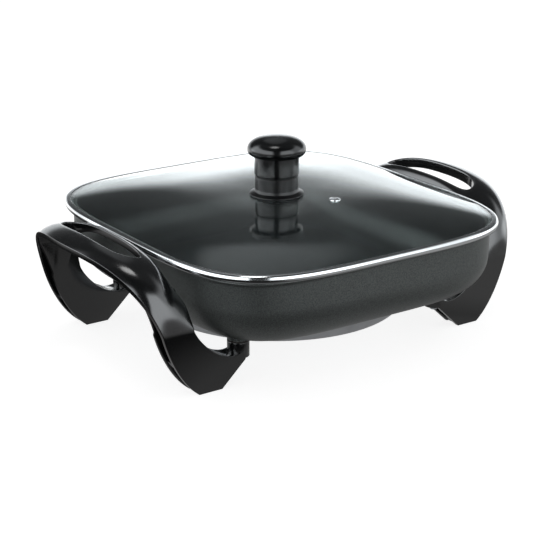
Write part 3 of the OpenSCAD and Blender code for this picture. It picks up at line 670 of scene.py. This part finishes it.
class HandleShape:
    """The handle's curves in millimetres, for the handle at +X. Its legs are at -Y and +Y."""

    # Across the ribbon: share of the width from the outer edge, height in crowns or mm, back in walls
    SHARES = (0, 0.04, 0.14, 0.33, 0.6, 0.84, 0.92, 0.97, 1)
    CROWNS = (0, 0, 0.62, 1, 0.85, 0.32, 0, 0, 0)
    LIFTS = (0, 1, 0, 0, 0, 0, -0.2, -2.6, -6)
    BACKS = (1, 1, 1, 1, 1, 1, 1.1, 1.5, 2.3)
    # The shares at which the ribbon has a row of vertices, and how much thicker the grip is than a leg
    VERTICES = (
        0.05, 0.1, 0.15, 0.21, 0.28, 0.35, 0.43, 0.51, 0.59, 0.67, 0.74, 0.8, 0.85, 0.89, 0.925, 0.955,
    )
    THICKER = 1.08
    # The hook's side is tucked in under the arch and comes out again over the first rise. The inner edge
    # leaves it for the grip at the second and is there after the third. The crown is full after the fourth.
    TUCK, TUCK_RISE, LEAN_START, LEAN_RISE, CROWN_RISE = 1.5, 12, 18, 22, 36

    def __init__(self, size):
        vars(self).update(vars(millimetres(size)))
        self.heights = [c * self.crown + l for c, l in zip(self.CROWNS, self.LIFTS)]
        self.hook_tip = Vector((self.post_x, 28.4))
        self.toe = Vector((self.post_x - 1.25, 20.9))
        shoulder = mix(self.foot_out, self.grip_x, 0.497)
        lean = mix(self.foot_out, self.grip_x, 0.755)
        # Control points: the arch's outer edge in space, then a leg's outside and its hook in side view
        self.edge_controls = (
            (shoulder, -self.leg_y, self.arch_z),
            (lean, 8.5 - self.leg_y, self.arch_z + 51.3),
            (self.grip_x, -0.38 * self.leg_y, self.grip_z),
            (self.grip_x, 0, self.grip_z),
        )
        self.outer_controls = (
            (shoulder, self.arch_z),
            (shoulder - 4, self.arch_z - 16),
            (self.foot_out + 17, 13),
            (self.foot_out, 0),
        )
        self.hook_controls = (
            (self.hook_x - self.TUCK, self.arch_z),
            (self.hook_x - 6.8, self.arch_z - 12.8),
            (self.foot_in - 4.4, 17.7),
            self.hook_tip,
        )

    def edge(self, t):
        return bezier(self.edge_controls, t)

    def outer_line(self, t):
        return bezier(self.outer_controls, t)

    def hook_line(self, t):
        return bezier(self.hook_controls, t)

    def normal(self, t):
        along = self.edge(t + 0.01) - self.edge(t - 0.01)
        return Vector((0, -along.z, along.y)).normalized()

    def inner_x(self, z):
        rise = z - self.arch_z
        side = self.hook_x - self.TUCK + self.TUCK * smooth(rise / self.TUCK_RISE)
        return side + (self.grip_in - self.hook_x) * smooth((rise - self.LEAN_START) / self.LEAN_RISE)

    def crowned(self, z):
        """How much of its full crown the ribbon has at a height."""
        return smooth((z - self.arch_z) / self.CROWN_RISE)

    def across(self, share, values):
        """A smooth curve through the section's values."""
        k = max(i for i in range(len(self.SHARES) - 1) if self.SHARES[i] <= share)
        w0, w1 = self.SHARES[k], self.SHARES[k + 1]
        before, after = max(k - 1, 0), min(k + 2, len(values) - 1)
        slope0 = (values[k + 1] - values[before]) / (w1 - self.SHARES[before])
        slope1 = (values[after] - values[k]) / (self.SHARES[after] - w0)
        t = (share - w0) / (w1 - w0)
        return (
            values[k] * (1 - 3 * t * t + 2 * t**3)
            + values[k + 1] * (3 * t * t - 2 * t**3)
            + (slope0 * (t - 2 * t * t + t**3) + slope1 * (t**3 - t * t)) * (w1 - w0)
        )

    def section(self, width, fade):
        """The ribbon's section as a closed loop of (distance from the outer edge, height)."""

        def back(share):
            return -self.wall * mix(1, self.across(share, self.BACKS) * self.THICKER, fade)

        front = [(share * width, fade * self.across(share, self.heights)) for share in self.VERTICES]
        rear = [(share * width, back(share)) for share in reversed(self.VERTICES)]
        loop = (
            [(0, back(0), 0.4), (0, 0, 0.5)]
            + front
            + [(width, fade * self.heights[-1], 0.7), (width, back(1), mix(0.2, 0.6, fade))]
            + rear
        )
        return fillet(loop, 5)

    def rows(self):
        """Every row of the near half, from the toe to just past the middle of the grip."""
        foot_out, foot_in = Vector((self.foot_out, 0)), Vector((self.foot_in, 0))
        sole, leg, arch = ([i / count for i in range(count)] for count in (8, 26, 60))
        out = [self.leg_row(foot_out.lerp(foot_in, 1 - t), self.hook_tip.lerp(self.toe, 1 - t)) for t in sole]
        out += [self.leg_row(self.outer_line(1 - t), self.hook_line(1 - t)) for t in leg]
        out += [self.arch_row(t) for t in arch + [1]]
        out.append([(x, -y, z) for x, y, z in self.arch_row(0.95)])
        return out

    def leg_row(self, outer, hook):
        along = (hook - outer).normalized()
        places = [(outer + along * u, h) for u, h in self.section((hook - outer).length, 0)]
        return [(place.x, -self.leg_y - h, place.y) for place, h in places]

    def arch_row(self, t):
        point, normal = self.edge(t), self.normal(t)
        width = point.x - self.inner_x(point.z)
        section = self.section(width, self.crowned(point.z))
        return [tuple(point + Vector((-u, 0, 0)) + normal * h) for u, h in section]


class SKILLET_OT_handles(bpy.types.Operator):
    """Model the two moulded handles with their legs, finger slots and screw posts"""

    bl_idname = "skillet.handles"
    bl_label = "Handles"

    def execute(self, context):
        shape = HandleShape(context.scene.skillet_handle)
        half = self.ribbon(shape)
        boolean(half, self.slot_cutter(shape, half), "DIFFERENCE")
        for part in self.leg_parts(shape):
            boolean(half, part, "UNION")
        bore = turned("bore", [(0, -2), (5.6, -2), (5.6, 23), (2.75, 23), (2.75, 40), (0, 40)], 48)
        boolean(half, move(bore, shape.post_x, -shape.post_y), "DIFFERENCE")
        along_y = dict.fromkeys(("use_axis", "use_bisect_axis", "use_bisect_flip_axis"), (False, True, False))
        apply_modifier(half, "MIRROR", merge_threshold=0.05 * MM, **along_y)
        right = finished(half, "pan", "handle_right", "phenolic", "satin_phenolic", angle=32)
        left = bpy.data.objects.new("left_handle", right.data.copy())
        context.scene.collection.objects.link(left)
        only(left)
        start_edit()
        bpy.ops.transform.resize(value=(-1, 1, 1), center_override=(0, 0, 0))
        bpy.ops.mesh.flip_normals()
        bpy.ops.object.mode_set(mode="OBJECT")
        left.data.name = "left_handle"
        finished(left, "pan", "handle_left", "phenolic", "satin_phenolic", angle=32)
        return {"FINISHED"}

    def ribbon(self, shape):
        """Half of the handle's outer wall: a grid whose sides meet, with both ends filled."""
        rows = shape.rows()
        across = len(rows[0])
        grid = primitive("grid", x_subdivisions=across, y_subdivisions=len(rows) - 1, size=100 * MM)
        for i, vertex in enumerate(grid.data.vertices):
            row, column = divmod(i, across + 1)
            vertex.co = Vector(rows[row][column % across]) * MM
        start_edit()
        bpy.ops.mesh.remove_doubles(threshold=0.01 * MM)
        bpy.ops.mesh.select_all(action="DESELECT")
        bpy.ops.mesh.select_non_manifold()
        bpy.ops.mesh.edge_face_add()
        return end_edit("right_handle")

    def slot_outline(self, shape):
        """The finger slot from above: a bowed outer side and a nearly straight inner side."""
        bow, half, steps = 6, shape.slot_half, 16
        ends = shape.slot_in + bow
        outer, inner = [], []
        for i in range(-steps, steps + 1):
            q = math.sin(math.pi / 2 * i / steps)
            outer.append(Vector((mix(ends, shape.slot_out, max(0, 1 - q**4) ** 0.5), half * q)))
            inner.append(Vector((ends - bow * max(0, 1 - q**8) ** 0.5, -half * q)))
        return outer + inner[1:-1]

    def slot_cutter(self, shape, ribbon):
        """A punch for the finger slot, whose flared top rounds the slot's upper edge."""
        outline = self.slot_outline(shape)
        count = len(outline)
        tree = BVHTree.FromObject(ribbon, bpy.context.evaluated_depsgraph_get())
        # Stages up the punch: how far out of the slot's outline, and how far above the grip's top
        radius = 1.5
        angles = [math.radians(15 * k) for k in range(6)]
        flare = [(radius * (1 - math.cos(a)), radius * (math.sin(a) - 1)) for a in angles]
        lean = (flare[-1][0] + 0.58, flare[-1][1] + 0.16)
        stages = [(0, -60)] + flare + [lean, (lean[0], 25)]
        cutter = primitive("circle", vertices=count, radius=50 * MM, fill_type="NGON")
        start_edit()
        for _ in stages[1:]:
            extrude(0, 0, 10)
        bpy.ops.object.mode_set(mode="OBJECT")
        levels = sorted({round(v.co.z, 4) for v in cutter.data.vertices})
        for vertex in cutter.data.vertices:
            k = round(math.atan2(vertex.co.x, vertex.co.y) / (2 * math.pi) * count) % count
            out, up = stages[levels.index(round(vertex.co.z, 4))]
            along = (outline[(k + 1) % count] - outline[k - 1]).normalized()
            place = outline[k] + Vector((along.y, -along.x)) * out
            hit = tree.ray_cast(Vector((place.x, place.y, 200)) * MM, Vector((0, 0, -1)))[0]
            top = hit.z / MM if hit else shape.grip_z
            vertex.co = Vector((place.x, place.y, top + up)) * MM
        only(cutter)
        start_edit()
        return end_edit("slot_punch")

    def leg_parts(self, shape):
        """What stiffens a leg: its inner plate, hook flange, sole, rib and spine, and the screw's post."""
        y, wall = -shape.leg_y, shape.wall
        inner_y = y + shape.leg_depth
        # The parts between the two plates go from the ribbon into the inner plate.
        near, far = y + 1, inner_y - 1
        share = 0.3
        top = shape.edge(share).z - 2
        hook = [shape.hook_line(i / 20) for i in range(21)]
        edge = [shape.edge(share * i / 8) for i in range(8, -1, -1)]
        outline = (
            [(p.x - 1.2, min(p.z, top)) for p in edge]
            + [tuple(shape.outer_line(i / 20)) for i in range(1, 21)]
            + [(shape.foot_in, 0.05), tuple(shape.toe)]
            + [tuple(p) for p in reversed(hook)]
            + [(shape.inner_x(z) + 1.5, z) for z in (mix(shape.arch_z, top - 10, k / 3) for k in (1, 2, 3))]
            + [(shape.inner_x(top) + 2, top)]
        )
        yield cut_plate("inner_plate", outline, "Y", inner_y - 3.2, inner_y, soften=0.6)

        def beside_hook(i, distance):
            t = i / 20
            along = (shape.hook_line(t + 0.01) - shape.hook_line(t - 0.01)).normalized()
            return tuple(shape.hook_line(t) + Vector((-along.y, along.x)) * distance)

        flange = [beside_hook(i, 0.15) for i in range(21)] + [beside_hook(i, wall) for i in range(20, -1, -1)]
        yield cut_plate("hook_flange", flange, "Y", near, far, soften=0)
        heel = tuple(shape.outer_line(0.86) - Vector((1.5, 0)))
        sole = [(shape.foot_in + 1, 0.5), (shape.foot_out - 1.5, 0.5), heel, (shape.foot_in - 3.5, 5.6)]
        yield cut_plate("sole", sole, "Y", near, far, soften=0.4)
        a, b = shape.outer_line(0.45), shape.outer_line(0.53)
        c, d = shape.hook_line(0.5), shape.hook_line(0.42)
        rib = [(a.x - 1.5, a.y), (b.x - 1.5, b.y), (c.x + 1, c.y - 1.5), (d.x + 1, d.y - 1.5)]
        yield cut_plate("rib", rib, "Y", near, far, soften=0.4)
        share = 0.15
        spine = [(near, shape.arch_z - 1.5), (far, shape.arch_z - 1.5), (far, shape.edge(share).z - 2)]
        for i in range(8, -1, -1):
            point, normal = shape.edge(share * i / 8), shape.normal(share * i / 8)
            depth = 1 + 6.5 * shape.crowned(point.z)
            spine.append((point.y - normal.y * depth, point.z - normal.z * depth))
        spine = cut_plate("spine", spine, "X", shape.hook_x - 5, shape.hook_x + wall + 10, soften=0)
        levels = [shape.arch_z - 2 + 2.5 * i for i in range(13)]
        side = [(shape.inner_x(z) + 0.3, z) for z in levels]
        side += [(shape.inner_x(z) + wall, z) for z in reversed(levels)]
        boolean(spine, cut_plate("spine_side", side, "Y", y + 0.5, inner_y, soften=0), "INTERSECT")
        yield spine
        post = fillet([(0, 21.2), (9, 21.2, 0.5), (9, 34.4, 0.5), (0, 34.4)], 3)
        yield move(turned("post", post, 48), shape.post_x, -shape.post_y)


class SKILLET_OT_leg_fasteners(bpy.types.Operator):
    """Finish the spacers, washers and screws that hold the legs"""

    bl_idname = "skillet.leg_fasteners"
    bl_label = "Leg fasteners"

    def execute(self, context):
        refinish("pressed_fibre", "heat_spacers")
        refinish("zinc_plating", "leg_washers", "leg_lock_washers", "leg_screws")
        return {"FINISHED"}


class SKILLET_OT_lid(bpy.types.Operator):
    """Model the domed glass, its steel rim and the seal between them"""

    bl_idname = "skillet.lid"
    bl_label = "Glass lid"

    def execute(self, context):
        size = millimetres(context.scene.skillet_lid)
        half_x, half_y, low, bore = size.width / 2, size.depth / 2, size.rim_low, size.bore
        steps, edge, tucked = 30, low + 0.9, 1.5

        def glass_ring(i, drop):
            f = (i / steps) ** 1.5
            z = edge + size.glass - drop + size.dome * (1 - (1 - f) ** 4)
            return (mix(half_x + tucked, bore, f), mix(half_y + tucked, bore, f), z)

        rings = [glass_ring(i, 0) for i in range(steps + 1)]
        rings += [glass_ring(i, size.glass) for i in range(steps, -1, -1)]
        glass = square_hoop("glass_dome", size.squareness, rings)
        finished(glass, "lid", "lid_glass", "lid_glass", "tempered_glass", angle=60)

        def hoop(name, section, node, slot, finish, steps=4):
            rings = [(half_x + out, half_y + out, low + z) for out, z in fillet(section, steps)]
            piece = square_hoop(name, size.squareness, rings)
            finished(piece, "lid", node, slot, finish, angle=50)

        # Strip folded round the glass edge: outer bulge, upper lip on the glass, lower lip under it.
        rim = [
            (-0.8, 5.95, 0.08), (1.9, 5.6, 0.8), (2.9, 4.9, 1.2), (3.5, 3, 1.4), (3.5, 1.2, 1.2),
            (2.9, 0, 0.9), (-3.6, 0, 0.25), (-3.6, 0.65, 0.25), (2.3, 0.65, 0.6), (2.95, 1.6, 0.6),
            (2.95, 3.9, 0.6), (1.7, 5, 0.8), (-0.8, 5.7, 0.05),
        ]
        hoop("steel_rim", rim, "lid_rim", "rim_steel", "polished_stainless")
        seal = [(1.65, 1.9, 0.2), (2.75, 1.9, 0.2), (2.75, 3.9, 0.2), (1.65, 3.9, 0.2)]
        hoop("glass_seal", seal, "rim_seal", "silicone", "moulded_silicone", 2)
        return {"FINISHED"}


class SKILLET_OT_vent(bpy.types.Operator):
    """Model the steel eyelet of the steam vent"""

    bl_idname = "skillet.vent"
    bl_label = "Steam vent"

    def execute(self, context):
        size = millimetres(context.scene.skillet_lid)
        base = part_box("vent_grommet")[0].z / MM
        profile = fillet(
            [
                (2.2, 0.2, 0.2), (4.8, 0, 0.3), (4.8, 0.9, 0.2), (3.3, 0.9), (3.3, 5), (5.1, 5, 0.15),
                (4.7, 5.9, 0.5), (3.1, 6.2, 0.6), (2.2, 5.8, 0.4), (2.2, 0.2),
            ],
            4,
        )
        eyelet = turned("vent_eyelet", [(r, base + z) for r, z in profile], 48)
        move(eyelet, size.vent_x, -size.vent_y)
        finished(eyelet, "lid", "vent_grommet", "rim_steel", "polished_stainless")
        return {"FINISHED"}


class SKILLET_OT_knob(bpy.types.Operator):
    """Model the knob's flanged base, neck and cap, and finish its fasteners"""

    bl_idname = "skillet.knob"
    bl_label = "Knob"

    def execute(self, context):
        size = millimetres(context.scene.skillet_lid)
        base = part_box("knob_base")[0].z / MM
        low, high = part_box("knob_grip")
        insert_depth = 20
        socket, top = low.z / MM + insert_depth, high.z / MM
        cap, stem, bore, seam = size.cap / 2, size.neck / 2, size.bore, base + size.seam
        foot = fillet(
            [
                (bore, base), (23.4, base, 0.3), (23.4, base + 1.2, 0.4), (19.4, base + 3, 1.2),
                (18.6, base + 5.4, 2), (18.6, seam - 1.2, 0.4), (17.7, seam - 0.6, 0.2),
                (17.7, seam), (bore, seam),
            ]
        )
        foot = turned("knob_foot", foot + foot[:1], 128)
        finished(foot, "lid", "knob_base", "phenolic", "drawn_phenolic")
        # The cap is a flattened dome over a quarter round that comes back in to the neck. It is at its
        # widest at one height, and the quarter round goes so far under that.
        wide, under, flatness = top - 11.4, 5.8, 0.92
        quarter = [math.pi / 2 * i / 20 for i in range(1, 21)]
        neck = fillet(
            [
                (0, socket), (bore, socket), (bore, seam), (18.4, seam, 0.4),
                (stem + 0.2, seam + 1.1, 0.6), (stem, wide - under - 0.3),
            ]
        )
        tuck = [(mix(stem, cap, math.sin(a)), wide - under * math.cos(a)) for a in quarter]
        crown = [
            (cap * math.cos(a) ** flatness, mix(wide, top, math.sin(a) ** flatness)) for a in quarter[:-1]
        ]
        grip = turned("knob_cap", neck + tuck + crown + [(0, top)], 128)
        finished(grip, "lid", "knob_grip", "phenolic", "polished_phenolic", angle=50)
        refinish("turned_brass", "knob_insert")
        refinish("moulded_silicone", "knob_seal")
        refinish("zinc_plating", "knob_washer", "knob_screw")
        return {"FINISHED"}


def parts(tree, source, *axes):
    """How far a place or direction goes along each of some axes."""
    for axis in axes:
        yield add(tree, "VectorMath", {"operation": "DOT_PRODUCT", 1: axis}, {0: source}).outputs["Value"]


def brightness(tree, *ramps, shape="SMOOTHSTEP", join="MULTIPLY"):
    """Ramps joined into one brightness, each a source, where it starts and ends, and its values there."""
    joined = None
    for source, start, end, first, last in ramps:
        settings = {"From Min": start, "From Max": end, "To Min": first, "To Max": last}
        ramp = add(tree, "MapRange", {**settings, "interpolation_type": shape}, {"Value": source})
        if joined is not None:
            ramp = add(tree, "Math", {"operation": join}, {0: joined, 1: ramp})
        joined = ramp
    return joined


class SKILLET_OT_studio(bpy.types.Operator):
    """Set up the floor, the soft lights and the camera"""

    bl_idname = "skillet.studio"
    bl_label = "Studio"

    def execute(self, context):
        scene, size = context.scene, context.scene.skillet_studio
        scene.view_settings.view_transform = "Standard"
        behind = Vector((-math.sin(size.azimuth), math.cos(size.azimuth), 0))
        right = Vector((behind.y, -behind.x, 0))
        self.floor(scene, behind, right)
        self.surroundings(scene, behind, right)
        self.softbox(scene)
        self.camera(scene, behind)
        return {"FINISHED"}

    def floor(self, scene, behind, right):
        """A pale floor that keeps the shadow, and that gloss mirrors as dark with lighter zones."""
        size = scene.skillet_studio
        floor = primitive("plane", size=12)
        floor.name = "studio_floor"
        paper = bpy.data.materials.new("studio_paper")
        tree = empty_tree(paper)
        matt = add(tree, "BsdfDiffuse", {"Color": (*scene.skillet_colours.floor, 1)})
        lift = add(tree, "Emission", {"Color": WHITE, "Strength": size.lift})
        lifted = add(tree, "AddShader", links={0: matt, 1: lift})
        place = add(tree, "TexCoord").outputs["Object"]
        back, across = parts(tree, place, behind, right)
        # The distance from the skillet's middle is 1 on an oval, 0.32 m across and 0.27 m along.
        oval = add(tree, "Mapping", {"Scale": (3.1, 3.7, 1)}, {"Vector": place})
        apart = add(tree, "VectorMath", {"operation": "LENGTH"}, {0: oval}).outputs["Value"]
        # Lit behind, at the right, under the skillet and far to the left, and dark between.
        bright = brightness(
            tree, (back, 0.2, 0.45, 0, size.sweep), (across, 0.1, 0.24, 0, 0.4),
            (apart, 0.6, 0.82, 0.3, 0.02), (across, -0.42, -0.55, 0, 0.6), shape="LINEAR", join="MAXIMUM",
        )
        mirrored = add(tree, "Emission", {"Color": WHITE}, {"Strength": bright})
        shown, rays = matt, add(tree, "LightPath").outputs
        for ray, shader in (("Is Glossy Ray", mirrored), ("Is Camera Ray", lifted)):
            shown = add(tree, "MixShader", links={0: rays[ray], 1: shown, 2: shader})
        add(tree, "OutputMaterial", links={"Surface": shown})
        floor.data.materials.append(paper)

    def surroundings(self, scene, behind, right):
        """White where the camera sees them, even light for the rest, and soft shapes for gloss to mirror."""
        size = scene.skillet_studio
        scene.world = bpy.data.worlds.new("studio_world")
        tree = empty_tree(scene.world)
        direction = add(tree, "TexCoord").outputs["Generated"]
        # Parts of the direction: away from the camera, to its right and up. "wide" is to either side.
        along, side, up = parts(tree, direction, behind, right, (0, 0, 1))
        wide = add(tree, "Math", {"operation": "ABSOLUTE"}, {0: side})
        ahead = (along, -0.1, 0.25, 0, 1)
        # A white sweep low behind, with a glow above its middle.
        sweep = brightness(tree, ahead, (up, 0.17, 0.29, size.sweep, 0.05), (side, -0.16, -0.06, 0.6, 1))
        glow = brightness(tree, ahead, (up, 0.2, 0.32, 0.6, 0), (wide, 0.03, 0.1, 1, 0))
        # A tall panel on each side of the camera. The right one fades towards its far edge.
        far_right = brightness(tree, (along, -0.45, -0.2, 0, 1), (side, 0, 0.1, 0, 1))
        panels = brightness(
            tree, (up, -0.02, 0.04, 0, 1), (up, 0.66, 0.8, size.panel, 0.05), (wide, 0.18, 0.3, 0, 1),
            (along, 0.3, 0.6, 1, 0), (far_right, 0, 1, 1, 0.5),
        )
        # A round dish high behind, dimmer to the right.
        placed = add(tree, "CombineXYZ", links={0: side, 1: up})
        for operation, pair in (("SUBTRACT", (-0.02, 0.66, 0)), ("DIVIDE", (0.185, 0.22, 1))):
            placed = add(tree, "VectorMath", {"operation": operation, 1: pair}, {0: placed})
        squared = add(tree, "VectorMath", {"operation": "DOT_PRODUCT"}, {0: placed, 1: placed})
        off_centre = squared.outputs["Value"]
        dish = brightness(
            tree, (off_centre, 0.6, 1.15, size.dish, 0), (along, 0, 0.2, 0, 1), (side, -0.1, 0.2, 1, 0.6)
        )
        strength = brightness(tree, (up, 0.25, 0.5, 0.07, 0.03))
        for part in (sweep, panels, dish, glow):
            strength = add(tree, "Math", links={0: strength, 1: part})
        mirrored = add(tree, "Background", {"Color": (0.93, 0.97, 1, 1)}, {"Strength": strength})
        around = add(tree, "Background", {"Color": WHITE, "Strength": size.ambient})
        white = add(tree, "Background", {"Color": WHITE, "Strength": 1})
        # A ray that hasn't bounced sees white, a diffuse one even light and any other the shapes above.
        rays = add(tree, "LightPath").outputs
        bounced = add(tree, "Math", links={0: rays["Diffuse Depth"], 1: rays["Glossy Depth"]})
        unseen = add(tree, "MixShader", links={0: rays["Is Diffuse Ray"], 1: mirrored, 2: around})
        shown = add(tree, "MixShader", links={0: bounced, 1: white, 2: unseen})
        add(tree, "OutputWorld", links={"Surface": shown})

    def softbox(self, scene):
        """One round softbox above, a little behind the lid."""
        place, target, width = Vector((-0.05, 0.1, 1.4)), Vector((0, 0, 0.1)), 0.35
        lamp = bpy.data.lights.new("overhead_softbox", "AREA")
        lamp.shape, lamp.size, lamp.size_y, lamp.energy = "ELLIPSE", width, width, scene.skillet_studio.key
        box = bpy.data.objects.new("overhead_softbox", lamp)
        scene.collection.objects.link(box)
        box.location = place
        box.rotation_euler = (target - place).to_track_quat("-Z", "Y").to_euler()

    def camera(self, scene, behind):
        size = scene.skillet_studio
        camera = bpy.data.objects.new("camera", bpy.data.cameras.new("camera"))
        scene.collection.objects.link(camera)
        away = Vector((0, 0, math.sin(size.elevation))) - behind * math.cos(size.elevation)
        camera.location = Vector((size.target_x, size.target_y, size.target_z)) + away * size.distance
        camera.rotation_euler = (-away).to_track_quat("-Z", "Y").to_euler()
        camera.data.lens, camera.data.sensor_width = size.lens, SENSOR
        camera.data.clip_start, camera.data.clip_end = 0.05, 50
        scene.camera = camera


class SKILLET_PT_panel(bpy.types.Panel):
    """Lists the skillet's steps in the order they are run"""

    bl_idname = "SKILLET_PT_panel"
    bl_label = "Electric skillet"
    bl_space_type = "VIEW_3D"
    bl_region_type = "UI"
    bl_category = "Skillet"

    def draw(self, context):
        for step in STEPS:
            self.layout.operator(step.bl_idname)


STEPS = (
    SKILLET_OT_studio,
    SKILLET_OT_pan,
    SKILLET_OT_heater,
    SKILLET_OT_socket,
    SKILLET_OT_handles,
    SKILLET_OT_leg_fasteners,
    SKILLET_OT_lid,
    SKILLET_OT_vent,
    SKILLET_OT_knob,
)
GROUPS = {
    "skillet_pan": SkilletPan,
    "skillet_lid": SkilletLid,
    "skillet_handle": SkilletHandle,
    "skillet_colours": SkilletColours,
    "skillet_studio": SkilletStudio,
}


def register():
    for item in (*GROUPS.values(), *STEPS, SKILLET_PT_panel):
        bpy.utils.register_class(item)
    for name, group in GROUPS.items():
        setattr(bpy.types.Scene, name, PointerProperty(type=group))


def unregister():
    for name in GROUPS:
        delattr(bpy.types.Scene, name)
    for item in (SKILLET_PT_panel, *reversed(STEPS), *reversed(GROUPS.values())):
        bpy.utils.unregister_class(item)


def main():
    register()
    for step in STEPS:
        group, name = step.bl_idname.split(".")
        getattr(getattr(bpy.ops, group), name)()


if __name__ == "__main__":
    main()
